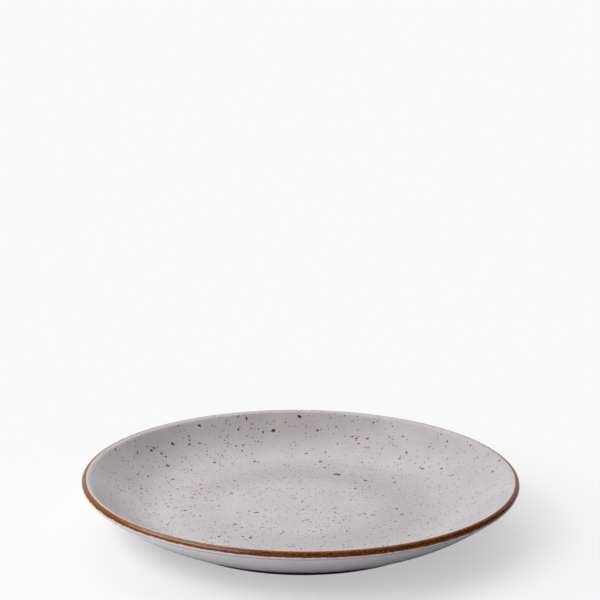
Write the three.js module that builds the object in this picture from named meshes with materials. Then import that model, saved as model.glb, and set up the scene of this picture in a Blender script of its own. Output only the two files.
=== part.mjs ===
// A coupe dinner plate in speckled stoneware.
// A fired clay body with a foot ring carries four glaze coats: a speckled one over the face, a brown band
// over the lip, and plain ones down the outer wall and inside the foot ring. It stands on bare clay.
// Millimetres, +Z up. The origin is the centre of the foot ring, on the table.
import * as THREE from "three";

// Overall size, over the glaze
const plateDiameter = 260;
const plateHeight = 31;

// Lip of the clay body
const lipRadius = 1.75; // from the top to the outer side
const lipInnerRadius = 5; // from the top to the face
const lipSideHeight = 3.65; // top of the clay down to the crease where the wall starts
const lipSideTaper = 0.8; // how far the side leans in on the way down to the crease
const creaseRadius = 1.2;

// Wall between the lip and the foot
const wallSlopeAtLip = 38.5; // degrees from level
const wallSlopeAtFoot = 12; // degrees from level

// Foot ring
const footDiameter = 170; // outside, at the table
const footWidth = 6.5; // at the table
const footHeight = 3.3; // table to the root of the outer wall
const footLean = 0.6; // how far each side of the ring leans in towards the table
const footRootRadius = 1.6;
const footEdgeRadius = 0.9;
const bareHeight = 2.6; // the outer coat stops this far above the table
const wellBareHeight = 1.5; // and the coat inside the ring this far

// Floor inside the foot ring
const floorThickness = 5.2; // at the centre
const footWellHeight = 2.8; // table to the underside of the floor, beside the ring
const footWellCrown = 2.2; // how much higher the underside is at the centre

// Face: a level centre, a shallow moat over the foot, and one curve from there to the lip
const moatInset = 3; // lowest ring of the face, inwards from the outside of the foot
const moatSlope = 58; // width of the slope from the moat up to the level centre
const moatDepth = 2.4; // below the centre
const faceSlopeAtLip = 41; // degrees from level

// Glaze coats
const glazeThickness = 0.3;
const coatGap = 0.05; // from a coat to the clay, and from one coat's end to the next
const bandReach = 2.5; // brown band, inwards from the plate's edge
const bandDrop = 2.3; // brown band, down from the plate's top

// Fineness of the facets
const turnSteps = 64;
const lipInnerSteps = 3;
const lipOuterSteps = 3;
const wallSteps = 6;
const moatSteps = 4;
const riseSteps = 7;
const cornerSteps = 2;

// Shape of the curves: a handle's length against its chord, and the most of a side that a corner may take
const curveTension = 0.34;
const cornerShare = 0.45;

const coatDepth = glazeThickness + coatGap;
const clayRadius = plateDiameter / 2 - coatDepth;
const clayTop = plateHeight - coatDepth;

const point = (radius, height) => new THREE.Vector2(radius, height);
const heading = (degrees) => point(1, 0).rotateAround(point(0, 0), THREE.MathUtils.degToRad(degrees));

// The direction to the left of a step along a profile.
function leftOf(from, to) {
  const along = to.clone().sub(from).normalize();
  return point(-along.y, along.x);
}

// A smooth curve between two points that leaves and arrives along the given headings.
function sweep(start, leaving, end, arriving, steps) {
  const handle = start.distanceTo(end) * curveTension;
  const first = start.clone().addScaledVector(leaving, handle);
  const second = end.clone().addScaledVector(arriving, -handle);
  return new THREE.CubicBezierCurve(start, first, second, end).getPoints(steps);
}

// An arc between two angles in degrees.
function arc(centre, radius, from, to, steps) {
  const turn = (to - from) / steps;
  return Array.from({ length: steps + 1 }, (_, step) =>
    centre.clone().addScaledVector(heading(from + turn * step), radius));
}

// A rounded corner between two neighbours, no longer than its sides allow.
function roundCorner(before, corner, after, radius) {
  const back = before.clone().sub(corner);
  const ahead = after.clone().sub(corner);
  const room = cornerShare * Math.min(back.length(), ahead.length());
  const halfAngle = Math.acos(back.normalize().dot(ahead.normalize())) / 2;
  const reach = Math.min(radius / Math.tan(halfAngle), room);
  const start = corner.clone().addScaledVector(back, reach);
  const end = corner.clone().addScaledVector(ahead, reach);
  return new THREE.QuadraticBezierCurve(start, corner, end).getPoints(cornerSteps);
}

// A profile moved to its left by a distance, with mitred corners. A point on the axis moves along it.
function offset(path, distance) {
  const last = path.length - 1;
  return path.map((here, index) => {
    const sideBefore = leftOf(path[Math.max(index, 1) - 1], path[Math.max(index, 1)]);
    const sideAfter = leftOf(path[Math.min(index, last - 1)], path[Math.min(index, last - 1) + 1]);
    if (here.x === 0) {
      return point(0, here.y + Math.sign(sideAfter.y) * distance);
    }
    const mitre = sideBefore.clone().add(sideAfter).normalize();
    return here.clone().addScaledVector(mitre, distance / mitre.dot(sideAfter));
  });
}

// Cuts a profile where a coordinate first passes a value, and gives the stretches before and after it.
function splitAt(path, axis, value) {
  const isPast = (index) => (path[index - 1][axis] - value) * (path[index][axis] - value) <= 0;
  const next = path.findIndex((_, index) => index > 0 && isPast(index));
  const from = path[next - 1];
  const share = (value - from[axis]) / (path[next][axis] - from[axis]);
  const cut = from.clone().lerp(path[next], share);
  const apart = (here) => here.distanceTo(cut) > coatGap;
  return [[...path.slice(0, next).filter(apart), cut], [cut.clone(), ...path.slice(next).filter(apart)]];
}

// The outer wall of the clay, from the crease under the lip to the root of the foot ring.
const crease = point(clayRadius - lipSideTaper, clayTop - lipSideHeight);
const footRoot = point(footDiameter / 2 + footLean, footHeight);
const underLip = heading(180 + wallSlopeAtLip);
const towardsFoot = heading(180 + wallSlopeAtFoot);
const wall = sweep(crease, underLip, footRoot, towardsFoot, wallSteps);

// The lip, from where the face meets its rounding, over the top, to the outer edge.
const lipCentre = point(clayRadius - lipRadius, clayTop - lipRadius);
const innerCentre = point(lipCentre.x, clayTop - lipInnerRadius);
const lip = [
  ...arc(innerCentre, lipInnerRadius, 90 + faceSlopeAtLip, 90, lipInnerSteps),
  ...arc(lipCentre, lipRadius, 90, 0, lipOuterSteps).slice(1),
];

// The face, from its middle to the lip.
const centreHeight = footWellHeight + footWellCrown + floorThickness;
const moat = point(footDiameter / 2 - moatInset, centreHeight - moatDepth);
const centreEdge = point(moat.x - moatSlope, centreHeight);
const level = heading(0);
const face = [
  point(0, centreHeight),
  ...sweep(centreEdge, level, moat, level, moatSteps),
  ...sweep(moat, level, lip[0], heading(faceSlopeAtLip), riseSteps).slice(1, -1),
];

// The foot ring and the underside of the floor, back to the axis.
const tableOuter = point(footDiameter / 2, 0);
const tableInner = point(footDiameter / 2 - footWidth, 0);
const wellCorner = point(tableInner.x - footLean, footWellHeight);
const wellCentre = point(0, footWellHeight + footWellCrown);
const foot = [
  ...roundCorner(wall[wallSteps - 1], footRoot, tableOuter, footRootRadius),
  ...roundCorner(footRoot, tableOuter, tableInner, footEdgeRadius),
  ...roundCorner(tableOuter, tableInner, wellCorner, footEdgeRadius),
  ...roundCorner(tableInner, wellCorner, wellCentre, footRootRadius),
  wellCentre,
];

// The whole surface of the clay, from the middle of the face over the lip to the middle of the underside.
const clay = [
  ...face,
  ...lip,
  ...roundCorner(lip.at(-1), crease, wall[1], creaseRadius),
  ...wall.slice(1, wallSteps),
  ...foot,
];

// The stretches of that surface under each coat, with the bare ring between the last two.
const [faceStretch, pastFace] = splitAt(clay, "x", plateDiameter / 2 - bandReach);
const [bandStretch, pastBand] = splitAt(pastFace, "y", plateHeight - bandDrop);
const [wallStretch, pastWall] = splitAt(pastBand, "y", bareHeight);
const [, underRing] = splitAt(pastWall, "x", (tableOuter.x + tableInner.x) / 2);
const [, wellStretch] = splitAt(underRing, "y", wellBareHeight);

// Draws a coat's end back by half a gap, unless it is on the axis.
function drawBack(end, neighbour) {
  const pull = end.x === 0 ? 0 : coatGap / 2;
  return end.clone().addScaledVector(neighbour.clone().sub(end).normalize(), pull);
}

// The closed section of a coat over a stretch of the clay. A section has its solid on the left.
function coatSection(stretch) {
  const first = drawBack(stretch[0], stretch[1]);
  const last = drawBack(stretch.at(-1), stretch.at(-2));
  const path = [first, ...stretch.slice(1, -1), last];
  const under = offset(path, coatGap);
  const over = offset(path, coatDepth).reverse();
  if (last.x === 0) {
    return [...over, ...under];
  }
  return first.x === 0 ? [...under, ...over] : [...under, ...over, under[0].clone()];
}

const plate = new THREE.Group();

function addTurned(name, section, color, roughness) {
  const geometry = new THREE.LatheGeometry(section, turnSteps).rotateX(Math.PI / 2);
  const material = new THREE.MeshStandardMaterial({ color, roughness, metalness: 0 });
  const mesh = new THREE.Mesh(geometry, material);
  mesh.name = name;
  plate.add(mesh);
}

addTurned("stoneware_body", [...clay].reverse(), 0x5f5750, 0.85);
addTurned("face_glaze", coatSection(faceStretch), 0xc6c2c4, 0.22);
addTurned("rim_band", coatSection(bandStretch), 0x632d0b, 0.25);
addTurned("wall_glaze", coatSection(wallStretch), 0xbdb9bd, 0.2);
addTurned("foot_well_glaze", coatSection(wellStretch), 0xbdb9bd, 0.25);

export default plate;
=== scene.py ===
import math

import bmesh
import bpy
from mathutils import Color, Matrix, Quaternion, Vector
from mathutils.geometry import interpolate_bezier


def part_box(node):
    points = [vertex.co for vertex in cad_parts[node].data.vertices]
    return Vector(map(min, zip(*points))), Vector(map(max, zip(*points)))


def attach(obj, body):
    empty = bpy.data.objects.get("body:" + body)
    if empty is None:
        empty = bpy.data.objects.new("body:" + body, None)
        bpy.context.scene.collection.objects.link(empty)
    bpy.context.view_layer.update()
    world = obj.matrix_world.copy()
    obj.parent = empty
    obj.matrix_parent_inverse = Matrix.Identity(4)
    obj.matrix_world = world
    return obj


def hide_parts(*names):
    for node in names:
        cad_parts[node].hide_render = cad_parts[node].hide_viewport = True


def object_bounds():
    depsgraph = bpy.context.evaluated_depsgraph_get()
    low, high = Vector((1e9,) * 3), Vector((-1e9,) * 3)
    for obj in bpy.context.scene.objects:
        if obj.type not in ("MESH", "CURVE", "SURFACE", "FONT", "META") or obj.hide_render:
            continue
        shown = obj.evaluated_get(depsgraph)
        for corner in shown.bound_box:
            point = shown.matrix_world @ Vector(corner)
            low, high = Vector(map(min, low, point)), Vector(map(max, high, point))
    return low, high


# A coupe dinner plate in speckled stoneware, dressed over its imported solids. Profiles are in millimetres.
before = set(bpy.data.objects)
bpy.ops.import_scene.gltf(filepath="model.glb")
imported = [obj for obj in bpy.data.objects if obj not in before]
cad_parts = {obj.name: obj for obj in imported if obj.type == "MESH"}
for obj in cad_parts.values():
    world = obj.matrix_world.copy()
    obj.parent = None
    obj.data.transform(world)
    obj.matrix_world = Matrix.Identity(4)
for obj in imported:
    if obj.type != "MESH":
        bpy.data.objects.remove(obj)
cadLow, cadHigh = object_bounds()
mm = 0.001
print("frame loaded:", ", ".join(sorted(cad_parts)))


# Small helpers for node trees

def addNode(tree, kind, settings=None, **sockets):
    node = tree.nodes.new(kind)
    for name, value in (settings or {}).items():
        setattr(node, name, value)
    for name, value in sockets.items():
        setSocket(tree, node, name.replace("_", " "), value)
    return node


def setSocket(tree, node, name, value):
    socket = node.inputs[name]
    if isinstance(value, bpy.types.NodeSocket):
        tree.links.new(value, socket)
    else:
        socket.default_value = value


def mathNode(tree, operation, *values):
    node = addNode(tree, "ShaderNodeMath", {"operation": operation})
    for index, value in enumerate(values):
        setSocket(tree, node, index, value)
    return node.outputs[0]


def product(tree, value, *factors):
    for factor in factors:
        value = mathNode(tree, "MULTIPLY", value, factor)
    return value


def vectorNode(tree, operation, *values):
    node = addNode(tree, "ShaderNodeVectorMath", {"operation": operation})
    for index, value in enumerate(values):
        setSocket(tree, node, index, value)
    return node.outputs["Value" if operation in ("DOT_PRODUCT", "LENGTH") else "Vector"]


def newTree(name, kind, inputs, outputs):
    tree = bpy.data.node_groups.new(name, kind)
    for side, sockets in (("INPUT", inputs), ("OUTPUT", outputs)):
        for label, socketKind in sockets.items():
            tree.interface.new_socket(label, in_out=side, socket_type="NodeSocket" + socketKind)
    given = tree.nodes.new("NodeGroupInput").outputs
    result = tree.nodes.new("NodeGroupOutput").inputs
    return tree, given, result


# Profile of the plate, as turned on the wheel

plateForm = {
    "radius": cadHigh.x / mm,  # over the glaze
    "height": cadHigh.z / mm,
    "lipRadius": 1.75,  # from the top to the outer side
    "lipInnerRadius": 5.0,  # from the top to the face
    "lipSideHeight": 3.65,  # top of the clay down to the crease
    "lipSideTaper": 0.8,
    "creaseRadius": 1.2,
    "wallSlopeAtLip": 38.5,  # degrees
    "wallSlopeAtFoot": 12.0,
    "faceSlopeAtLip": 41.0,
    "footRadius": 85.0,
    "footWidth": 6.5,
    "footHeight": 3.3,
    "footLean": 0.6,
    "footRootRadius": 1.6,
    "footEdgeRadius": 0.9,
    "floorThickness": 5.2,
    "footWellHeight": 2.8,
    "footWellCrown": 2.2,
    "moatRadius": 82.0,
    "centreRadius": 24.0,
    "moatDepth": 2.4,
    "curveTension": 0.34,  # handle length against its chord
    "cornerShare": 0.45,  # most of a side that a corner may take
    "tangentReach": 8.0,  # how far a wall's tangent is followed at a corner
}
glazeForm = {
    "thickness": 0.3,
    "clayGap": 0.005,
    "seam": 0.002,  # between two coats
    "bandInnerRadius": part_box("face_glaze")[1].x / mm,
    "bandBottom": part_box("rim_band")[0].z / mm,
    "bareHeight": 2.6,  # the outer coat stops this far above the table
    "wellBareHeight": 1.5,  # and the coat inside the ring this far
    "endRounding": 0.4,  # length over which a coat thins to its edge above the bare foot
    "endSteps": 6,
}
fineness = {
    "turn": 256,
    "centre": 4,
    "moat": 14,
    "rise": 44,
    "wall": 34,
    "lipInside": 8,
    "lipOutside": 14,
    "corner": 6,
}


def at(radius, height):
    return Vector((radius, height))


def heading(degrees):
    return Vector((math.cos(math.radians(degrees)), math.sin(math.radians(degrees))))


def leftOf(start, end):
    along = (end - start).normalized()
    return Vector((-along.y, along.x))


def easedCurve(start, leaving, end, arriving, steps):
    handle = (end - start).length * plateForm["curveTension"]
    return interpolate_bezier(start, start + leaving * handle, end - arriving * handle, end, steps + 1)


def roundArc(centre, radius, first, last, steps):
    turn = (last - first) / steps
    return [centre + heading(first + turn * step) * radius for step in range(steps + 1)]


def softCorner(before, corner, after, radius):
    back, ahead = before - corner, after - corner
    room = plateForm["cornerShare"] * min(back.length, ahead.length)
    reach = min(radius / math.tan(back.angle(ahead) / 2), room)
    start, end = corner + back.normalized() * reach, corner + ahead.normalized() * reach
    pull = 2 / 3  # a quadratic curve written as a cubic one
    return interpolate_bezier(
        start, start.lerp(corner, pull), end.lerp(corner, pull), end, fineness["corner"] + 1)


def clayProfile():
    form = plateForm
    coat = glazeForm["thickness"] + glazeForm["clayGap"]
    clayRadius, clayTop = form["radius"] - coat, form["height"] - coat
    crease = at(clayRadius - form["lipSideTaper"], clayTop - form["lipSideHeight"])
    footRoot = at(form["footRadius"] + form["footLean"], form["footHeight"])
    underLip, towardsFoot = heading(180 + form["wallSlopeAtLip"]), heading(180 + form["wallSlopeAtFoot"])
    wall = easedCurve(crease, underLip, footRoot, towardsFoot, fineness["wall"])

    # the lip, from the face over the top to the outer edge
    lipCentre = at(clayRadius - form["lipRadius"], clayTop - form["lipRadius"])
    innerCentre = at(lipCentre.x, clayTop - form["lipInnerRadius"])
    faceSide = 90 + form["faceSlopeAtLip"]
    lipInside = roundArc(innerCentre, form["lipInnerRadius"], faceSide, 90, fineness["lipInside"])
    lipOutside = roundArc(lipCentre, form["lipRadius"], 90, 0, fineness["lipOutside"])

    # the face: a level centre, the fall to a shallow moat and one curve from there to the lip
    level = heading(0)
    centreHeight = form["footWellHeight"] + form["footWellCrown"] + form["floorThickness"]
    moat = at(form["moatRadius"], centreHeight - form["moatDepth"])
    centreEdge = at(form["centreRadius"], centreHeight)
    centreSteps = fineness["centre"]
    centre = [at(centreEdge.x * step / centreSteps, centreHeight) for step in range(centreSteps)]
    slope = easedCurve(centreEdge, level, moat, level, fineness["moat"])
    rise = easedCurve(moat, level, lipInside[0], heading(form["faceSlopeAtLip"]), fineness["rise"])

    # the foot ring and the underside
    tableOuter = at(form["footRadius"], 0)
    tableInner = at(form["footRadius"] - form["footWidth"], 0)
    wellCorner = at(tableInner.x - form["footLean"], form["footWellHeight"])
    wellCentre = at(0, form["footWellHeight"] + form["footWellCrown"])
    creaseCorner = softCorner(
        lipOutside[-1], crease, crease + underLip * form["tangentReach"], form["creaseRadius"])
    rootCorner = softCorner(
        footRoot - towardsFoot * form["tangentReach"], footRoot, tableOuter, form["footRootRadius"])
    openWall = [
        here for here in wall
        if (here - crease).length > (creaseCorner[-1] - crease).length
        and (here - footRoot).length > (rootCorner[0] - footRoot).length
    ]
    beforeLipTop = [*centre, *slope, *rise[1:-1], *lipInside]
    afterLipTop = [
        *lipOutside[1:],
        *creaseCorner,
        *openWall,
        *rootCorner,
        *softCorner(footRoot, tableOuter, tableInner, form["footEdgeRadius"]),
        *softCorner(tableOuter, tableInner, wellCorner, form["footEdgeRadius"]),
        *softCorner(tableInner, wellCorner, wellCentre, form["footRootRadius"]),
        wellCentre,
    ]
    return withRun(beforeLipTop + afterLipTop, len(beforeLipTop) - 1)


def withRun(path, lipTop):
    # the third coordinate is the length along the surface from the lip's top, negative on the face
    lengths = [0.0]
    for here, ahead in zip(path, path[1:]):
        lengths.append(lengths[-1] + (ahead - here).length)
    return [Vector((*here, length - lengths[lipTop])) for here, length in zip(path, lengths)]


def offsetPath(path, distances):
    moved = []
    last = len(path) - 1
    for index, here in enumerate(path):
        back, ahead = max(index, 1), min(index, last - 1)
        sideBefore = leftOf(path[back - 1].xy, path[back].xy)
        sideAfter = leftOf(path[ahead].xy, path[ahead + 1].xy)
        mitre = (sideBefore + sideAfter).normalized()
        if here.x == 0:  # a point on the axis moves along it
            mitre = sideAfter = Vector((0, math.copysign(1, sideAfter.y)))
        shift = mitre * (distances[index] / mitre.dot(sideAfter))
        moved.append(Vector((here.x + shift.x, here.y + shift.y, here.z)))
    return moved


def splitPath(path, axis, value):
    ahead = next(
        index for index in range(1, len(path))
        if (path[index - 1][axis] - value) * (path[index][axis] - value) <= 0)
    start, end = path[ahead - 1], path[ahead]
    cut = start.lerp(end, (value - start[axis]) / (end[axis] - start[axis]))
    near = glazeForm["seam"]
    before = [here for here in path[:ahead] if (here - cut).length > near]
    after = [here for here in path[ahead:] if (here - cut).length > near]
    return [*before, cut], [cut.copy(), *after]


def drawBack(end, neighbour):
    pull = 0 if end.x == 0 else glazeForm["seam"] / 2
    return end + (neighbour - end).normalized() * pull


def roundedEnd(path):
    reach, steps = glazeForm["endRounding"], glazeForm["endSteps"]
    end, towards = path[-1], (path[-2] - path[-1]).normalized()
    kept = [here for here in path if (here - end).length > reach]
    shares = [math.cos(math.pi / 2 * step / steps) for step in range(steps)]
    return [*kept, *[end + towards * reach * share for share in shares], end]


def coatSection(stretch, roundFirst=False, roundLast=False):
    path = [drawBack(stretch[0], stretch[1]), *stretch[1:-1], drawBack(stretch[-1], stretch[-2])]
    if roundLast:
        path = roundedEnd(path)
    if roundFirst:
        path = roundedEnd(path[::-1])[::-1]
    depths = []
    for here in path:
        depth = glazeForm["thickness"]
        for isRound, end in ((roundFirst, path[0]), (roundLast, path[-1])):
            if isRound:
                inset = 1 - min((here - end).length / glazeForm["endRounding"], 1)
                depth *= math.sqrt(1 - inset * inset)
        depths.append(depth)
    gap = glazeForm["clayGap"]
    under = offsetPath(path, [gap] * len(path))
    over = offsetPath(path, [gap + depth for depth in depths])
    if roundLast:
        over.pop()  # the two surfaces share the edge of a rounded end
    if roundFirst:
        over.pop(0)
    return under + over[::-1] if path[-1].x else over[::-1] + under


clay = clayProfile()
faceStretch, pastFace = splitPath(clay, 0, glazeForm["bandInnerRadius"])
bandStretch, pastBand = splitPath(pastFace, 1, glazeForm["bandBottom"])
wallStretch, pastWall = splitPath(pastBand, 1, glazeForm["bareHeight"])
underRing = splitPath(pastWall, 0, plateForm["footRadius"] - plateForm["footWidth"] / 2)[1]
wellStretch = splitPath(underRing, 1, glazeForm["wellBareHeight"])[1]
bandInnerRun, bandOuterRun = bandStretch[0].z, bandStretch[-1].z
creaseHeight = plateForm["height"] - glazeForm["thickness"] - plateForm["lipSideHeight"]
creaseRun = splitPath(wallStretch, 1, creaseHeight)[0][-1].z
print(f"profile: {len(clay)} points, brown band {bandInnerRun:.2f} to {bandOuterRun:.2f} mm from the top")


# Shader effects that several finishes share

noiseMiddle = 0.5  # mean value of a noise texture


def perMillimetre(size):
    return 1 / (size * mm)  # texture scale for features of about this many millimetres


def smoothStep(tree, value, low, high):
    return addNode(
        tree, "ShaderNodeMapRange", {"interpolation_type": "SMOOTHSTEP"},
        Value=value, From_Min=low, From_Max=high).outputs[0]


def noiseNode(tree, coordinates, scale, detail, roughness=0.5):
    noise = addNode(
        tree, "ShaderNodeTexNoise", Vector=coordinates, Scale=scale, Detail=detail, Roughness=roughness)
    return noise.outputs[0]


def formedNoise(tree, coordinates, form):
    return noiseNode(tree, coordinates, perMillimetre(form["size"]), form["detail"], form["roughness"])


def acrossAxis(tree, coordinates):
    return vectorNode(tree, "MULTIPLY", coordinates, (1.0, 1.0, 0.0))


def outwardFrom(tree, coordinates):
    return vectorNode(tree, "NORMALIZE", acrossAxis(tree, coordinates))


mottleForm = {
    "patchDetail": 3.0,
    "grainDetail": 2.0,
    "range": (0.34, 0.66),  # noise values that give the first and the second tone
}


def makeGlazeMottle():
    tree, given, result = newTree(
        "glazeMottle", "ShaderNodeTree",
        {"Coordinates": "Vector", "Patch Scale": "Float", "Grain Scale": "Float", "Grain Share": "Float"},
        {"Tone": "Float", "Height": "Float"})
    patches = noiseNode(tree, given["Coordinates"], given["Patch Scale"], mottleForm["patchDetail"])
    grain = noiseNode(tree, given["Coordinates"], given["Grain Scale"], mottleForm["grainDetail"])
    mixed = addNode(tree, "ShaderNodeMix", Factor=given["Grain Share"], A=patches, B=grain)
    tree.links.new(smoothStep(tree, mixed.outputs[0], *mottleForm["range"]), result["Tone"])
    tree.links.new(patches, result["Height"])
    return tree


def makeMoatShade():
    # painted shade: a darker colour between two radii, over the moat
    tree, given, result = newTree(
        "moatShade", "ShaderNodeTree",
        {"Coordinates": "Vector", "Start": "Float", "Full": "Float", "Fade": "Float", "End": "Float"},
        {"ShadeRing": "Float"})
    radius = vectorNode(tree, "LENGTH", acrossAxis(tree, given["Coordinates"]))
    entering = smoothStep(tree, radius, given["Start"], given["Full"])
    leaving = smoothStep(tree, radius, given["End"], given["Fade"])
    tree.links.new(product(tree, entering, leaving), result["ShadeRing"])
    return tree


edgeForm = {
    "size": 4.0,  # millimetres from one bend of an edge to the next
    "detail": 4.0,
    "roughness": 0.65,
    "innerShare": 0.4,  # how much of the wandering the inner edge has
    "lineMiddle": 0.6,  # middle of the pale line, out from the brown, against its width
    "borderWidth": 3.0,  # against the softness of the edge
}


def makeIronEdge():
    # where the brown band lies, its border, and the pale line beside it
    tree, given, result = newTree(
        "ironEdge", "ShaderNodeTree",
        {"Coordinates": "Vector", "Run": "Float", "Inner": "Float", "Outer": "Float",
         "Inner Lean": "Vector", "Outer Lean": "Vector",
         "Ragged": "Float", "Softness": "Float", "Line": "Float"},
        {"Band": "Float", "Rim": "Float", "Border": "Float"})
    wander = formedNoise(tree, given["Coordinates"], edgeForm)
    shift = product(tree, mathNode(tree, "SUBTRACT", wander, noiseMiddle), given["Ragged"])
    outward = outwardFrom(tree, given["Coordinates"])
    reach = vectorNode(tree, "DOT_PRODUCT", outward, given["Inner Lean"])
    drop = vectorNode(tree, "DOT_PRODUCT", outward, given["Outer Lean"])
    fromInner = mathNode(tree, "ADD", mathNode(tree, "SUBTRACT", given["Run"], given["Inner"]), reach)
    fromOuter = mathNode(tree, "ADD", mathNode(tree, "SUBTRACT", given["Outer"], given["Run"]), drop)
    innerDepth = mathNode(tree, "MULTIPLY_ADD", shift, edgeForm["innerShare"], fromInner)
    outerDepth = mathNode(tree, "ADD", fromOuter, shift)
    depth = mathNode(tree, "MINIMUM", innerDepth, outerDepth)
    band = smoothStep(tree, depth, product(tree, given["Softness"], -1.0), given["Softness"])
    fromLine = mathNode(tree, "MULTIPLY_ADD", given["Line"], edgeForm["lineMiddle"], depth)
    rim = smoothStep(tree, mathNode(tree, "ABSOLUTE", fromLine), given["Line"], 0.0)
    borderWidth = product(tree, given["Softness"], edgeForm["borderWidth"])
    border = smoothStep(tree, depth, borderWidth, 0.0)
    for label, value in (("Band", band), ("Rim", rim), ("Border", border)):
        tree.links.new(value, result[label])
    return tree


grainForm = {
    "size": 1.0,  # millimetres
    "detail": 3.0,
    "roughness": 0.65,
    "range": (0.34, 0.66),  # noise values that give the dark and the light grain
}


def makeIronGrain():
    tree, given, result = newTree(
        "ironGrain", "ShaderNodeTree", {"Coordinates": "Vector"}, {"Grain": "Float"})
    noise = formedNoise(tree, given["Coordinates"], grainForm)
    tree.links.new(smoothStep(tree, noise, *grainForm["range"]), result["Grain"])
    return tree


patchForm = {
    "size": 2.6,  # millimetres
    "detail": 3.0,
    "roughness": 0.6,
    "range": (0.3, 0.7),  # noise values between which a streak begins and is full
    "least": 0.4,  # strength between the streaks
    "gain": 0.5,  # and how much stronger a streak is
}


def makeSidePatch():
    # a streaky patch on one side of the plate, which fades out round it
    tree, given, result = newTree(
        "sidePatch", "ShaderNodeTree",
        {"Coordinates": "Vector", "Side": "Vector", "Start": "Float"},
        {"Patch": "Float"})
    noise = formedNoise(tree, given["Coordinates"], patchForm)
    streak = smoothStep(tree, noise, *patchForm["range"])
    strength = mathNode(tree, "MULTIPLY_ADD", streak, patchForm["gain"], patchForm["least"])
    towards = vectorNode(tree, "DOT_PRODUCT", outwardFrom(tree, given["Coordinates"]), given["Side"])
    side = smoothStep(tree, towards, given["Start"], 1.0)
    tree.links.new(product(tree, side, strength), result["Patch"])
    return tree


dustForm = {
    "skew": 2.0,  # how few grains are large
    "core": 0.35,  # share of a grain's radius that has its full colour
}


def makeFineSpeckle():
    tree, given, result = newTree(
        "fineSpeckle", "ShaderNodeTree",
        {"Coordinates": "Vector", "Scale": "Float", "Size": "Float", "Amount": "Float"},
        {"Speck": "Float", "Tone": "Float"})
    cells = addNode(
        tree, "ShaderNodeTexVoronoi", {"voronoi_dimensions": "2D"},
        Vector=given["Coordinates"], Scale=given["Scale"])
    draws = addNode(tree, "ShaderNodeSeparateColor", Color=cells.outputs["Color"])
    isThere = mathNode(tree, "LESS_THAN", draws.outputs["Red"], given["Amount"])
    skewed = mathNode(tree, "POWER", draws.outputs["Green"], dustForm["skew"])
    radius = product(tree, given["Size"], skewed)
    core = product(tree, radius, dustForm["core"])
    body = smoothStep(tree, cells.outputs["Distance"], radius, core)
    tree.links.new(product(tree, body, isThere), result["Speck"])
    tree.links.new(draws.outputs["Blue"], result["Tone"])
    return tree


effects = {
    "glazeMottle": makeGlazeMottle(),
    "moatShade": makeMoatShade(),
    "ironEdge": makeIronEdge(),
    "ironGrain": makeIronGrain(),
    "sidePatch": makeSidePatch(),
    "fineSpeckle": makeFineSpeckle(),
}


def addEffect(tree, name, **sockets):
    return addNode(tree, "ShaderNodeGroup", {"node_tree": effects[name]}, **sockets).outputs


def colour(red, green, blue):
    # an 8-bit screen colour as the linear values that a socket takes
    return (*Color((red / 255, green / 255, blue / 255)).from_srgb_to_scene_linear(), 1.0)


def mixColour(tree, factor, first, second, blend="MIX"):
    node = addNode(tree, "ShaderNodeMix", {"data_type": "RGBA", "blend_type": blend}, Factor=factor)
    indices = [index for index, socket in enumerate(node.inputs) if socket.type == "RGBA"]
    for index, value in zip(indices, (first, second)):
        setSocket(tree, node, index, value)
    return next(socket for socket in node.outputs if socket.type == "RGBA")


def attributeValue(tree, name):
    return addNode(tree, "ShaderNodeAttribute", {"attribute_name": name}).outputs["Fac"]


def newMaterial(name, **sockets):
    material = bpy.data.materials.new(name)
    material.use_nodes = True
    tree = material.node_tree
    surface = tree.nodes["Principled BSDF"]
    for label, value in sockets.items():
        surface.inputs[label.replace("_", " ")].default_value = value
    coordinates = tree.nodes.new("ShaderNodeTexCoord").outputs["Object"]
    return material, tree, surface, coordinates


def addBump(tree, surface, height, strength, distance):
    bump = addNode(tree, "ShaderNodeBump", Height=height, Strength=strength, Distance=distance)
    tree.links.new(bump.outputs["Normal"], surface.inputs["Normal"])


# Finishes

glazeLook = {
    "pale": colour(197, 191, 192),
    "lilac": colour(190, 184, 186),
    # painted shade over the moat ring
    "paintedShade": colour(181, 175, 178),
    "shadeReach": (42.0, 56.0, 64.0, 82.0),  # millimetres from the axis: start, full, fade and end
    "shadeShare": 0.7,  # how far the colour goes to the painted shade
    "line": (1.14, 1.0, 0.82, 1.0),  # tint beside the brown band
    "wall": colour(222, 217, 224),
    "wallShade": colour(215, 210, 218),
    "crease": colour(150, 142, 149),  # painted shade along the crease below the lip
    "creaseShadeWidth": 0.7,
    "patch": 14.0,  # millimetres across
    "grain": 1.6,
    "grainShare": 0.35,
    "dustDark": colour(84, 60, 44),
    "dustTan": colour(158, 124, 96),
    "dustSpacing": 2.2,
    "dustSize": 0.36,  # radius of the largest grain, against the spacing
    "dustAmount": 0.55,
    "roughness": 0.2,
    "ior": 1.5,
    "waviness": 0.08,
    "waveHeight": 0.0004,
}
ironLook = {
    "dark": colour(68, 30, 9),
    "body": colour(146, 74, 24),
    "thinAndLit": colour(145, 80, 16),
    "thinLitSide": (-0.94, -0.34, 0.0),  # side on which it is thin, and lighter there as painted light
    "thinLitStart": 0.1,  # cosine of the angle from that side at which this ends
    "innerShift": 0.15,  # millimetres by which the brown stops short of its piece's inner edge
    "innerLean": (0.0, -0.4, 0.0),  # side on which it reaches further in, and by how many millimetres
    "outerLean": (0.8, -0.15, 0.0),  # side on which it hangs lower
    "ragged": 1.8,
    "softness": 0.22,
    "line": 0.8,  # width of the pale line
    "borderGrain": 0.4,  # how much of its lighter grain is lost along its borders
    "borderThinLit": 0.9,  # and of its thin tone, which is partly painted light
    "thinLitGrain": 0.4,  # how much of the thin tone, partly painted light, is lost where the grain is dark
    "roughness": 0.14,
    "specular": 0.14,
    "glossSide": (-0.5, -0.866, 0.0),  # side on which it has a clear gloss
    "glossStart": 0.9,
    "gloss": 1.0,
    "glossRoughness": 0.04,
}
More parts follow.
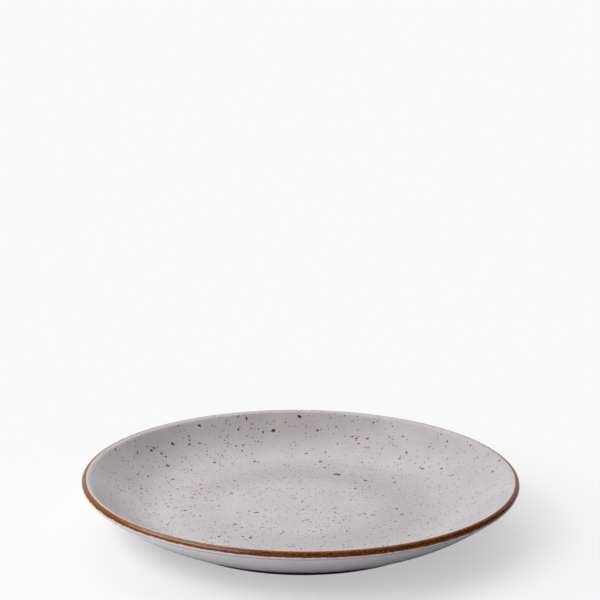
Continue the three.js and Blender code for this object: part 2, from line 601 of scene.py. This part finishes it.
clayLook = {
    "dark": colour(92, 84, 78),
    "pale": colour(114, 105, 97),
    "patch": 4.0,  # millimetres across
    "grain": 0.5,
    "grainShare": 0.55,
    "dust": colour(58, 46, 38),
    "dustSpacing": 1.6,
    "dustSize": 0.3,
    "dustAmount": 0.35,
    "roughness": 0.85,
    "ior": 1.45,
    "grittiness": 0.35,
    "gritHeight": 0.0002,
}
speckLook = {
    "dark": colour(56, 33, 18),
    "tan": colour(150, 91, 34),
    "darkEdge": colour(110, 74, 36),
    "tanEdge": colour(176, 128, 66),
    "fade": (0.0, 0.35),  # from the outline inwards, where the glaze turns to the rusty edge
    "burn": (0.3, 0.8),  # and the edge to the core
}


def mottleEffect(tree, coordinates, look):
    return addEffect(
        tree, "glazeMottle", Coordinates=coordinates, Patch_Scale=perMillimetre(look["patch"]),
        Grain_Scale=perMillimetre(look["grain"]), Grain_Share=look["grainShare"])


def mottledGlaze(tree, coordinates, first, second):
    mottle = mottleEffect(tree, coordinates, glazeLook)
    return mixColour(tree, mottle["Tone"], first, second), mottle["Height"]


def newGlaze(name, roughness=glazeLook["roughness"], **sockets):
    return newMaterial(name, Roughness=roughness, IOR=glazeLook["ior"], **sockets)


def dustEffect(tree, coordinates, look):
    return addEffect(
        tree, "fineSpeckle", Coordinates=coordinates, Scale=perMillimetre(look["dustSpacing"]),
        Size=look["dustSize"], Amount=look["dustAmount"])


def faceColour(tree, coordinates):
    base, height = mottledGlaze(tree, coordinates, glazeLook["lilac"], glazeLook["pale"])
    start, full, fade, end = [radius * mm for radius in glazeLook["shadeReach"]]
    # painted shade: the colour darkens over the moat ring
    ringShade = addEffect(tree, "moatShade", Coordinates=coordinates, Start=start, Full=full, Fade=fade, End=end)
    thickness = product(tree, ringShade["ShadeRing"], glazeLook["shadeShare"])
    return mixColour(tree, thickness, base, glazeLook["paintedShade"]), height


def lessWhere(tree, mask, share):
    return mathNode(tree, "MULTIPLY_ADD", mask, -share, 1.0)


def bandOver(tree, coordinates, base):
    # the brown coat's wandering edge crosses from one piece to the next, so every coat at the lip shows it
    edge = addEffect(
        tree, "ironEdge", Coordinates=coordinates, Run=attributeValue(tree, "glazeRun"),
        Inner=bandInnerRun + ironLook["innerShift"], Outer=bandOuterRun,
        Inner_Lean=ironLook["innerLean"], Outer_Lean=ironLook["outerLean"],
        Ragged=ironLook["ragged"], Softness=ironLook["softness"], Line=ironLook["line"])
    grain = addEffect(tree, "ironGrain", Coordinates=coordinates)["Grain"]
    # thinner glaze on one side, which is also painted lighter there as painted light
    thinAndLit = addEffect(
        tree, "sidePatch", Coordinates=coordinates, Side=ironLook["thinLitSide"],
        Start=ironLook["thinLitStart"])["Patch"]
    lightness = product(tree, grain, lessWhere(tree, edge["Border"], ironLook["borderGrain"]))
    dotted = mathNode(tree, "MULTIPLY_ADD", grain, ironLook["thinLitGrain"], 1 - ironLook["thinLitGrain"])
    washedAndLit = product(tree, thinAndLit, lessWhere(tree, edge["Border"], ironLook["borderThinLit"]), dotted)
    iron = mixColour(tree, lightness, ironLook["dark"], ironLook["body"])
    iron = mixColour(tree, washedAndLit, iron, ironLook["thinAndLit"])
    lined = mixColour(tree, edge["Rim"], base, glazeLook["line"], "MULTIPLY")
    return mixColour(tree, edge["Band"], lined, iron)


def finishGlaze(tree, surface, base, height):
    tree.links.new(base, surface.inputs["Base Color"])
    addBump(tree, surface, height, glazeLook["waviness"], glazeLook["waveHeight"])


def speckledGlaze():
    material, tree, surface, coordinates = newGlaze("speckledGlaze")
    base, height = faceColour(tree, coordinates)
    dust = dustEffect(tree, coordinates, glazeLook)
    dustColour = mixColour(tree, dust["Tone"], glazeLook["dustDark"], glazeLook["dustTan"])
    dusted = mixColour(tree, dust["Speck"], base, dustColour)
    finishGlaze(tree, surface, bandOver(tree, coordinates, dusted), height)
    return material


def brownGlaze():
    material, tree, surface, coordinates = newGlaze(
        "brownGlaze", ironLook["roughness"], Specular_IOR_Level=ironLook["specular"],
        Coat_Roughness=ironLook["glossRoughness"])
    glossy = addEffect(
        tree, "sidePatch", Coordinates=coordinates, Side=ironLook["glossSide"],
        Start=ironLook["glossStart"])
    gloss = product(tree, glossy["Patch"], ironLook["gloss"])
    tree.links.new(gloss, surface.inputs["Coat Weight"])
    base, height = mottledGlaze(tree, coordinates, glazeLook["lilac"], glazeLook["pale"])
    finishGlaze(tree, surface, bandOver(tree, coordinates, base), height)
    return material


def plainGlaze():
    material, tree, surface, coordinates = newGlaze("plainGlaze")
    base, height = mottledGlaze(tree, coordinates, glazeLook["wallShade"], glazeLook["wall"])
    # painted shade: a darker line along the crease, within this width of it
    fromCrease = mathNode(tree, "SUBTRACT", attributeValue(tree, "glazeRun"), creaseRun)
    paintedShade = smoothStep(tree, mathNode(tree, "ABSOLUTE", fromCrease), glazeLook["creaseShadeWidth"], 0.0)
    base = mixColour(tree, paintedShade, base, glazeLook["crease"])
    finishGlaze(tree, surface, bandOver(tree, coordinates, base), height)
    return material


def bareClay():
    material, tree, surface, coordinates = newMaterial(
        "bareClay", Roughness=clayLook["roughness"], IOR=clayLook["ior"])
    grit = mottleEffect(tree, coordinates, clayLook)
    base = mixColour(tree, grit["Tone"], clayLook["dark"], clayLook["pale"])
    dust = dustEffect(tree, coordinates, clayLook)
    speckled = mixColour(tree, dust["Speck"], base, clayLook["dust"])
    tree.links.new(speckled, surface.inputs["Base Color"])
    addBump(tree, surface, grit["Tone"], clayLook["grittiness"], clayLook["gritHeight"])
    return material


def ironSpeck():
    # dark or tan iron with a rusty edge that fades into the glaze around it
    material, tree, surface, coordinates = newGlaze("ironSpeck")
    base, height = faceColour(tree, coordinates)
    core = attributeValue(tree, "speckCore")
    tone = attributeValue(tree, "speckTone")
    iron = mixColour(tree, tone, speckLook["dark"], speckLook["tan"])
    rusty = mixColour(tree, tone, speckLook["darkEdge"], speckLook["tanEdge"])
    burnt = mixColour(tree, smoothStep(tree, core, *speckLook["burn"]), rusty, iron)
    faded = mixColour(tree, smoothStep(tree, core, *speckLook["fade"]), base, burnt)
    finishGlaze(tree, surface, faded, height)
    return material


finishes = {
    "clay": bareClay(),
    "speckled_glaze": speckledGlaze(),
    "brown_glaze": brownGlaze(),
    "plain_glaze": plainGlaze(),
    "iron": ironSpeck(),
}
print("finishes:", ", ".join(material.name for material in finishes.values()))


# Pieces turned from their sections

turning = {
    "ringRadius": 100.0,  # of the circle that a section is swept along
    "mergeDistance": 0.001,
    "sharpAngle": 35.0,  # degrees
}


def makeTurnedTree():
    tree, given, result = newTree(
        "turnedPiece", "GeometryNodeTree",
        {"Section": "Geometry", "Ring Radius": "Float", "Turn Steps": "Int", "Merge Distance": "Float",
         "Finish": "Material"},
        {"Piece": "Geometry"})
    section = addNode(tree, "GeometryNodeMeshToCurve", Mesh=given["Section"])
    ring = addNode(
        tree, "GeometryNodeCurvePrimitiveCircle", {"mode": "RADIUS"},
        Resolution=given["Turn Steps"], Radius=given["Ring Radius"])
    swept = addNode(
        tree, "GeometryNodeCurveToMesh",
        Curve=ring.outputs["Curve"], Profile_Curve=section.outputs["Curve"])
    merged = addNode(
        tree, "GeometryNodeMergeByDistance",
        Geometry=swept.outputs["Mesh"], Distance=given["Merge Distance"])
    smooth = addNode(tree, "GeometryNodeSetShadeSmooth", Geometry=merged.outputs["Geometry"])
    real = addNode(tree, "GeometryNodeRealizeInstances", Geometry=smooth.outputs["Geometry"])
    finished = addNode(
        tree, "GeometryNodeSetMaterial", Geometry=real.outputs["Geometry"], Material=given["Finish"])
    tree.links.new(finished.outputs["Geometry"], result["Piece"])
    return tree


def plainMesh(source, tree, values, name):
    modifier = source.modifiers.new(tree.name, "NODES")
    modifier.node_group = tree
    for item in tree.interface.items_tree:
        if item.item_type == "SOCKET" and item.in_out == "INPUT" and item.name in values:
            modifier[item.identifier] = values[item.name]
    bpy.context.view_layer.update()
    depsgraph = bpy.context.evaluated_depsgraph_get()
    mesh = bpy.data.meshes.new_from_object(
        source.evaluated_get(depsgraph), preserve_all_data_layers=True, depsgraph=depsgraph)
    mesh.name = name
    source.modifiers.remove(modifier)
    bpy.data.objects.remove(source)
    return linkedObject(name, mesh)


def linkedObject(name, data):
    made = bpy.data.objects.new(name, data)
    bpy.context.scene.collection.objects.link(made)
    return made


def storeValues(mesh, name, values, kind="FLOAT"):
    mesh.attributes.new(name, kind, "POINT").data.foreach_set("value", values)


def sectionObject(name, section):
    ringRadius = turning["ringRadius"]
    corners = [((here.x - ringRadius) * mm, -here.y * mm, 0) for here in section]
    edges = [(index, index + 1) for index in range(len(section) - 1)]
    if section[0].x:  # a section that doesn't start on the axis closes on itself
        edges.append((len(section) - 1, 0))
    mesh = bpy.data.meshes.new(name)
    mesh.from_pydata(corners, edges, [])
    storeValues(mesh, "glazeRun", [here.z for here in section])
    return linkedObject(name, mesh)


def pointOutwards(mesh):
    shell = bmesh.new()
    shell.from_mesh(mesh)
    bmesh.ops.recalc_face_normals(shell, faces=shell.faces)
    shell.to_mesh(mesh)
    shell.free()
    mesh.set_sharp_from_angle(angle=math.radians(turning["sharpAngle"]))


def turnPiece(name, section, node, slot):
    values = {
        "Ring Radius": turning["ringRadius"] * mm,
        "Turn Steps": fineness["turn"],
        "Merge Distance": turning["mergeDistance"] * mm,
        "Finish": finishes[slot],
    }
    piece = plainMesh(sectionObject(name + "Section", section), turnedTree, values, name)
    pointOutwards(piece.data)
    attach(piece, "root")
    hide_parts(node)
    print(f"{name}: {len(piece.data.polygons)} faces")
    return piece


turnedTree = makeTurnedTree()
turnPiece("stonewareBody", clay, "stoneware_body", "clay")
faceCoat = turnPiece("faceGlaze", coatSection(faceStretch), "face_glaze", "speckled_glaze")
turnPiece("rimBand", coatSection(bandStretch), "rim_band", "brown_glaze")
turnPiece("wallGlaze", coatSection(wallStretch, roundLast=True), "wall_glaze", "plain_glaze")
turnPiece("footWellGlaze", coatSection(wellStretch, roundFirst=True), "foot_well_glaze", "plain_glaze")


# Camera, fitted to the photograph's outline of the plate

cameraView = {
    "distance": 1.0,  # metres from the foot ring's centre
    "elevation": 20.63,  # degrees
    "focalPixels": 1645.0,
    "imageSize": 600,
    "sensorWidth": 36.0,
    "footPixel": (300.23, 520.84),  # where the foot ring's centre lies in the photograph
    "roll": 0.529,  # degrees, right side lower
    "clipEnd": 100.0,
}


def addCamera():
    view = cameraView
    middle = view["imageSize"] / 2
    elevation = math.radians(view["elevation"])
    place = Vector((0, -math.cos(elevation), math.sin(elevation))) * view["distance"]
    across = (view["footPixel"][0] - middle) / view["focalPixels"]
    down = (view["footPixel"][1] - middle) / view["focalPixels"]
    lens = bpy.data.cameras.new("photoCamera")
    lens.sensor_width = view["sensorWidth"]
    lens.lens = view["focalPixels"] * view["sensorWidth"] / view["imageSize"]
    lens.clip_end = view["clipEnd"]
    camera = linkedObject("photoCamera", lens)
    pitch = Quaternion((1, 0, 0), math.pi / 2 - elevation + math.atan(down))
    yaw = Quaternion((0, 0, 1), math.atan(across))
    roll = Quaternion(-place.normalized(), math.radians(-view["roll"]))
    camera.rotation_mode = "QUATERNION"
    camera.location = place
    camera.rotation_quaternion = roll @ yaw @ pitch
    bpy.context.scene.camera = camera
    return camera


camera = addCamera()


def rayThrough(pixel):
    middle = cameraView["imageSize"] / 2 - 0.5  # a pixel's place is that of its centre
    across, down = pixel[0] - middle, pixel[1] - middle
    direction = Vector((across, -down, -cameraView["focalPixels"]))
    return camera.location, (camera.rotation_quaternion @ direction).normalized()


# Iron specks in the face glaze

speckField = {
    "perSquareMetre": 34000.0,
    "lean": -7.0,  # how much thinner they lie towards the right, for each metre
    "wallReach": (85.0, 112.0),  # millimetres from the axis over which they thin out up the wall
    "wallShare": 0.52,  # how many are left there
    "edge": 121.0,  # none lie further out
    "least": 0.75,  # millimetres across
    "most": 2.1,
    "skew": 3.2,  # how few of them are large
    "relief": 0.03,
    "leastStretch": 0.55,  # width of the longest specks, against their length
    "outline": 0.5,  # how uneven an outline is, against the speck's size
    "outlineScale": 1500.0,  # bends in a metre
    "outlineDetail": 1.0,
    "patch": 40.0,  # millimetres across a patch where they lie thicker or thinner
    "patchDetail": 4.0,
    "patchRoughness": 0.75,
    "patchRange": (0.33, 0.67),  # noise values that give the thinnest and the thickest patch
    "patchMost": 2.0,  # thickest patch, against the mean
    "leastUpright": 0.5,  # steeper faces carry none
    "sides": 10,
    "rings": ((0.55, 0.7, 0.8), (1.0, -0.4, 0.0)),  # radius, height and burnt core
    "seed": 31,
}
chiefSpecks = {  # listed one by one: photograph pixel, millimetres across, tone from dark to tan
    "backLargest": (273, 430, 4.0, 0.2),
    "backEdge": (299, 416, 4.0, 0.2),
    "backLeftTop": (246, 418, 3.5, 0.4),
    "backLeftTwin": (238, 416, 2.5, 0.3),
    "backLeftLow": (238, 429, 3.0, 0.4),
    "backMiddle": (317, 430, 3.0, 0.6),
    "backRightPair": (352, 436, 2.5, 0.3),
    "backRightPairOuter": (367, 438, 3.5, 0.5),
    "backRightTop": (373, 422, 2.0, 0.4),
    "leftRowHigh": (199, 425, 3.5, 0.3),
    "leftRowMiddle": (172, 443, 3.0, 0.3),
    "leftRowLow": (151, 450, 3.0, 0.3),
    "leftRowInner": (161, 453, 2.5, 0.5),
    "leftTwin": (189, 444, 3.5, 0.5),
    "leftEdge": (115, 449, 3.0, 0.3),
    "leftPair": (167, 465, 4.0, 0.4),
    "leftWall": (137, 474, 2.5, 0.5),
    "leftWallLow": (141, 488, 3.0, 0.5),
    "centreBack": (306, 453, 3.0, 0.7),
    "centreDot": (320, 461, 4.0, 0.5),
    "centreTan": (324, 467, 3.5, 0.7),
    "centreLong": (337, 474, 6.5, 0.1),
    "centreLeft": (254, 461, 4.0, 0.5),
    "farLeft": (214, 462, 3.5, 0.4),
    "floorLeft": (231, 493, 3.0, 0.6),
    "rightCluster": (406, 452, 3.0, 0.5),
    "rightClusterTan": (399, 458, 2.5, 0.8),
    "rightClusterLow": (422, 468, 3.0, 0.5),
    "rightFar": (441, 468, 2.5, 0.8),
    "rightMiddle": (394, 482, 3.0, 0.4),
    "rightLow": (365, 480, 5.0, 0.3),
    "rightLower": (355, 488, 3.5, 0.4),
    "frontLeft": (185, 510, 4.0, 0.5),
    "frontInner": (256, 512, 4.0, 0.5),
    "frontMiddle": (234, 524, 3.5, 0.5),
    "frontEdge": (250, 537, 3.0, 0.5),
    "frontRight": (396, 508, 3.0, 0.6),
    "frontRightTan": (401, 514, 4.0, 0.6),
    "rightWall": (470, 445, 2.0, 0.5),
    "rightEdge": (499, 460, 2.5, 0.4),
    "rightEdgeLow": (492, 471, 2.5, 0.4),
}


def speckShape():
    sides = speckField["sides"]
    corners, core, faces = [(0, 0, 1), (0, 0, -1)], [1.0, 0.0], []  # starts with its top and its bottom
    for radius, height, burnt in speckField["rings"]:
        for step in range(sides):
            side = heading(360 * step / sides) * radius
            corners.append((side.x, side.y, height))
            core.append(burnt)
    for step in range(sides):
        after = (step + 1) % sides
        inner, innerNext = 2 + step, 2 + after
        outer, outerNext = inner + sides, innerNext + sides
        faces += [(0, inner, innerNext), (inner, outer, outerNext, innerNext), (1, outerNext, outer)]
    mesh = bpy.data.meshes.new("speckShape")
    mesh.from_pydata(corners, [], faces)
    storeValues(mesh, "speckCore", core)
    return linkedObject("speckShape", mesh)


def chiefSpeckPoints():
    places, sizes, tones = [], [], []
    for across, down, size, tone in chiefSpecks.values():
        found, place, *_ = faceCoat.ray_cast(*rayThrough((across, down)))
        if found:
            places.append(place)
            sizes.append(size * mm)
            tones.append(tone)
    mesh = bpy.data.meshes.new("chiefSpecks")
    mesh.from_pydata(places, [], [])
    storeValues(mesh, "speckSize", sizes)
    storeValues(mesh, "speckTone", tones)
    storeValues(mesh, "id", range(len(places)), "INT")  # gives each one random draws of its own
    return linkedObject("chiefSpecks", mesh)


def randomNode(tree, seed, least=0.0, most=1.0):
    node = addNode(tree, "FunctionNodeRandomValue", {"data_type": "FLOAT"}, Seed=seed)
    node.inputs[2].default_value, node.inputs[3].default_value = least, most  # limits of a float draw
    return node.outputs[1]


def storeNode(tree, geometry, name, value, kind="FLOAT"):
    node = addNode(
        tree, "GeometryNodeStoreNamedAttribute", {"data_type": kind, "domain": "POINT"},
        Geometry=geometry, Name=name)
    setSocket(tree, node, "Value", value)
    return node.outputs["Geometry"]


def readNode(tree, name, kind="FLOAT"):
    return addNode(
        tree, "GeometryNodeInputNamedAttribute", {"data_type": kind}, Name=name).outputs["Attribute"]


def scatterSpecks(tree, given, face, normal, place):
    # thicker in some patches, thinner up the wall, and only on the side that is eaten from
    upright = addNode(tree, "ShaderNodeSeparateXYZ", Vector=normal).outputs["Z"]
    facesUp = mathNode(tree, "GREATER_THAN", upright, speckField["leastUpright"])
    patches = noiseNode(
        tree, place, given["Patch Scale"], speckField["patchDetail"], speckField["patchRoughness"])
    thinnest, thickest = speckField["patchRange"]
    thickness = addNode(
        tree, "ShaderNodeMapRange", Value=patches, From_Min=thinnest, From_Max=thickest,
        To_Min=0.0, To_Max=speckField["patchMost"]).outputs[0]
    across = addNode(tree, "ShaderNodeSeparateXYZ", Vector=place).outputs["X"]
    sideways = mathNode(tree, "MULTIPLY_ADD", across, given["Lean"], 1.0)
    radius = vectorNode(tree, "LENGTH", acrossAxis(tree, place))
    inside = mathNode(tree, "LESS_THAN", radius, given["Edge"])
    upWall = addNode(
        tree, "ShaderNodeMapRange", Value=radius, From_Min=given["Wall Start"], From_Max=given["Wall End"],
        To_Min=1.0, To_Max=given["Wall Share"]).outputs[0]
    density = product(tree, given["Density"], thickness, sideways, upWall, inside)
    points = addNode(
        tree, "GeometryNodeDistributePointsOnFaces", Mesh=face, Selection=facesUp, Density=density,
        Seed=given["Seed"]).outputs["Points"]
    skewed = mathNode(tree, "POWER", randomNode(tree, given["Seed"]), given["Skew"])
    span = mathNode(tree, "SUBTRACT", given["Most"], given["Least"])
    size = mathNode(tree, "MULTIPLY_ADD", skewed, span, given["Least"])
    tone = randomNode(tree, mathNode(tree, "ADD", given["Seed"], 1.0))
    for label, value in (("speckSize", size), ("speckTone", tone)):
        points = storeNode(tree, points, label, value)
    return points


def laySpecks(tree, given, points, shape, face, normal, place):
    # each one lies flat on the face, turned and stretched by chance
    under = addNode(tree, "GeometryNodeSampleNearestSurface", {"data_type": "FLOAT_VECTOR"})
    for label, value in (("Mesh", face), ("Value", normal), ("Sample Position", place)):
        setSocket(tree, under, label, value)
    points = storeNode(tree, points, "speckNormal", under.outputs["Value"], "FLOAT_VECTOR")
    speckNormal = readNode(tree, "speckNormal", "FLOAT_VECTOR")
    lying = addNode(tree, "FunctionNodeAlignRotationToVector", {"axis": "Z"}, Vector=speckNormal)
    angle = randomNode(tree, mathNode(tree, "ADD", given["Seed"], 2.0), most=math.tau)
    turn = addNode(tree, "FunctionNodeAxisAngleToRotation", Angle=angle)
    turned = addNode(
        tree, "FunctionNodeRotateRotation", {"rotation_space": "LOCAL"}, Rotation=lying.outputs["Rotation"])
    setSocket(tree, turned, 1, turn.outputs["Rotation"])
    half = product(tree, readNode(tree, "speckSize"), 0.5)
    stretch = randomNode(tree, given["Seed"], speckField["leastStretch"])
    width = product(tree, half, stretch)
    scale = addNode(tree, "ShaderNodeCombineXYZ", X=half, Y=width, Z=given["Relief"])
    copies = addNode(
        tree, "GeometryNodeInstanceOnPoints", Points=points, Instance=shape,
        Rotation=turned.outputs["Rotation"], Scale=scale.outputs["Vector"])
    real = addNode(tree, "GeometryNodeRealizeInstances", Geometry=copies.outputs["Instances"])
    return real.outputs["Geometry"]


def unevenOutlines(tree, given, specks, place):
    # an outline of its own for each speck, moved along the face only
    wander = addNode(
        tree, "ShaderNodeTexNoise", Vector=place, Scale=speckField["outlineScale"],
        Detail=speckField["outlineDetail"])
    centred = vectorNode(tree, "SUBTRACT", wander.outputs["Color"], (noiseMiddle,) * 3)
    reach = product(tree, readNode(tree, "speckSize"), given["Outline"])
    grown = addNode(tree, "ShaderNodeVectorMath", {"operation": "SCALE"}, Scale=reach)
    setSocket(tree, grown, 0, centred)
    moved = grown.outputs["Vector"]
    lift = vectorNode(tree, "PROJECT", moved, readNode(tree, "speckNormal", "FLOAT_VECTOR"))
    uneven = addNode(
        tree, "GeometryNodeSetPosition", Geometry=specks, Offset=vectorNode(tree, "SUBTRACT", moved, lift))
    return uneven.outputs["Geometry"]


def makeSpeckTree():
    tree, given, result = newTree(
        "ironSpecks", "GeometryNodeTree",
        {"Chief Specks": "Geometry", "Face": "Object", "Shape": "Object", "Density": "Float",
         "Lean": "Float", "Wall Start": "Float", "Wall End": "Float", "Wall Share": "Float",
         "Edge": "Float", "Least": "Float", "Most": "Float", "Skew": "Float", "Relief": "Float",
         "Outline": "Float", "Patch Scale": "Float", "Seed": "Int", "Finish": "Material"},
        {"Specks": "Geometry"})
    face, shape = [
        addNode(tree, "GeometryNodeObjectInfo", Object=given[label]).outputs["Geometry"]
        for label in ("Face", "Shape")
    ]
    normal = tree.nodes.new("GeometryNodeInputNormal").outputs[0]
    place = tree.nodes.new("GeometryNodeInputPosition").outputs[0]
    chief = addNode(tree, "GeometryNodeMeshToPoints", Mesh=given["Chief Specks"]).outputs["Points"]
    scattered = scatterSpecks(tree, given, face, normal, place)
    joined = tree.nodes.new("GeometryNodeJoinGeometry")
    for points in (chief, scattered):
        tree.links.new(points, joined.inputs[0])
    specks = laySpecks(tree, given, joined.outputs["Geometry"], shape, face, normal, place)
    specks = unevenOutlines(tree, given, specks, place)
    smooth = addNode(tree, "GeometryNodeSetShadeSmooth", Geometry=specks)
    finished = addNode(
        tree, "GeometryNodeSetMaterial", Geometry=smooth.outputs["Geometry"], Material=given["Finish"])
    tree.links.new(finished.outputs["Geometry"], result["Specks"])
    return tree


def addSpecks():
    shape = speckShape()
    bpy.context.view_layer.update()
    values = {
        "Face": faceCoat,
        "Shape": shape,
        "Density": speckField["perSquareMetre"],
        "Lean": speckField["lean"],
        "Wall Start": speckField["wallReach"][0] * mm,
        "Wall End": speckField["wallReach"][1] * mm,
        "Wall Share": speckField["wallShare"],
        "Edge": speckField["edge"] * mm,
        "Least": speckField["least"] * mm,
        "Most": speckField["most"] * mm,
        "Skew": speckField["skew"],
        "Relief": speckField["relief"] * mm,
        "Outline": speckField["outline"],
        "Patch Scale": perMillimetre(speckField["patch"]),
        "Seed": speckField["seed"],
        "Finish": finishes["iron"],
    }
    specks = plainMesh(chiefSpeckPoints(), makeSpeckTree(), values, "ironSpecks")
    bpy.data.objects.remove(shape)
    pointOutwards(specks.data)
    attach(specks, "root")
    print(f"ironSpecks: {len(specks.data.polygons)} faces")


addSpecks()


# Floor and light

studio = {
    "floorSize": 60.0,  # metres
    "floorColour": (0.9, 0.9, 0.9, 1.0),
    "floorRoughness": 0.8,
    "roomColour": (1.0, 1.0, 1.0, 1.0),
    "roomGlow": 0.02,  # light from all round
    "roomLook": 0.95,  # how bright the room behind looks
    "shadowShare": 0.5,  # how much of a shadow shows on the floor beside the plate
    "fadeReach": (0.09, 0.24),  # metres from the plate's axis over which the floor turns into the room
}
# degrees round from the back towards the left, up, wide and high, then metres away and brightness
panels = {
    "leftPanel": (112, 45, 60, 24, 1.0, 5.6),
    "overhead": (20, 58, 60, 40, 1.5, 0.84),
    "backOverhead": (0, 65, 60, 40, 5.0, 1.08),
    "backPanel": (0, 22, 90, 44, 25.0, 0.79),
}


def addFloor():
    half = studio["floorSize"] / 2
    corners = [(-half, -half, 0), (half, -half, 0), (half, half, 0), (-half, half, 0)]
    mesh = bpy.data.meshes.new("floor")
    mesh.from_pydata(corners, [], [range(len(corners))])
    material, tree, surface, coordinates = newMaterial(
        "paleFloor", Base_Color=studio["floorColour"], Roughness=studio["floorRoughness"])
    distance = smoothStep(tree, vectorNode(tree, "LENGTH", coordinates), *studio["fadeReach"])
    lightened = mathNode(tree, "MULTIPLY_ADD", distance, studio["shadowShare"], 1 - studio["shadowShare"])
    seen = tree.nodes.new("ShaderNodeLightPath").outputs["Is Camera Ray"]
    roomShare = product(tree, lightened, seen)
    room = addNode(tree, "ShaderNodeEmission", Strength=studio["roomLook"])
    faded = tree.nodes.new("ShaderNodeMixShader")
    for index, output in enumerate((roomShare, surface.outputs["BSDF"], room.outputs["Emission"])):
        tree.links.new(output, faded.inputs[index])
    tree.links.new(faded.outputs["Shader"], tree.nodes["Material Output"].inputs["Surface"])
    mesh.materials.append(material)
    linkedObject("floor", mesh)


def addPanel(name, azimuth, elevation, wide, high, distance, brightness):
    light = bpy.data.lights.new(name, "AREA")
    light.shape = "RECTANGLE"
    light.size = 2 * distance * math.tan(math.radians(wide / 2))
    light.size_y = 2 * distance * math.tan(math.radians(high / 2))
    light.energy = math.pi * light.size * light.size_y * brightness
    panel = linkedObject(name, light)
    panel.rotation_euler = (math.radians(elevation - 90), 0, math.radians(azimuth))
    panel.location = panel.rotation_euler.to_matrix() @ Vector((0, 0, distance))
    panel.visible_camera = False


def addRoom():
    world = bpy.data.worlds.new("room")
    world.use_nodes = True
    tree = world.node_tree
    seen = tree.nodes.new("ShaderNodeLightPath").outputs["Is Camera Ray"]
    glow, look = studio["roomGlow"], studio["roomLook"]
    background = tree.nodes["Background"]
    background.inputs["Color"].default_value = studio["roomColour"]
    setSocket(tree, background, "Strength", mathNode(tree, "MULTIPLY_ADD", seen, look - glow, glow))
    bpy.context.scene.world = world
    bpy.context.scene.view_settings.view_transform = "Standard"


addFloor()
for name, panelValues in panels.items():
    addPanel(name, *panelValues)
addRoom()
print("floor, light and camera placed")
